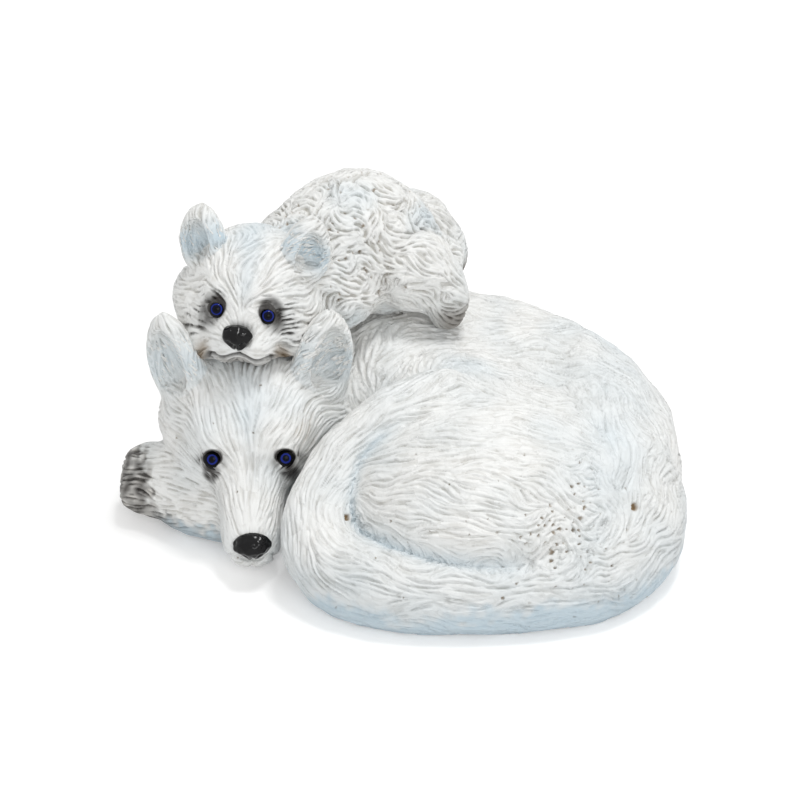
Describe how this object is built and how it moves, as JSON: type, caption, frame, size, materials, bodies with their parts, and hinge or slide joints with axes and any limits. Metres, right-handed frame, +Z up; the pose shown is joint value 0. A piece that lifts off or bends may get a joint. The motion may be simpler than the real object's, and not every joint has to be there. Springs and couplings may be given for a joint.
{
  "type": "animal figurine",
  "caption": "Cast resin ornament of an adult wolf curled up with its tail round it and a pup lying on its back, hand-painted white with blue-grey shading.",
  "frame": {"origin": "centre of the bounding box's footprint, on the surface the ornament stands on", "axes": "+X to the viewer's right from the front, +Y away from the viewer, +Z up; both faces look towards -Y"},
  "size_m": [0.1222, 0.097, 0.0744],
  "materials": {
    "white_resin": "hand-painted white, satin",
    "shaded_resin": "white shaded with pale blue, satin",
    "paw_resin": "white washed with grey-brown, satin",
    "black_enamel": "gloss enamel",
    "steel": "plain, hidden in the joints",
    "felt": "felt"
  },
  "bodies": {
    "root": {"adult_body": "white_resin", "adult_ear_left": "shaded_resin", "adult_ear_right": "shaded_resin", "adult_eye_left": "black_enamel", "adult_eye_right": "black_enamel", "adult_foreleg": "paw_resin", "adult_haunch": "white_resin", "adult_head": "white_resin", "adult_nose": "black_enamel", "adult_tail": "white_resin", "base_pad_1": "felt", "base_pad_2": "felt", "base_pad_3": "felt", "base_pad_4": "felt", "dowel_adult_head": "steel", "dowel_haunch": "steel", "dowel_pup_front": "steel", "dowel_pup_head": "steel", "dowel_pup_rear": "steel", "pup_body": "white_resin", "pup_ear_left": "shaded_resin", "pup_ear_right": "shaded_resin", "pup_eye_left": "black_enamel", "pup_eye_right": "black_enamel", "pup_foreleg": "white_resin", "pup_head": "white_resin", "pup_hind_leg_left": "white_resin", "pup_hind_leg_right": "white_resin", "pup_nose": "black_enamel", "pup_tail": "white_resin"}
  },
  "joints": []
}
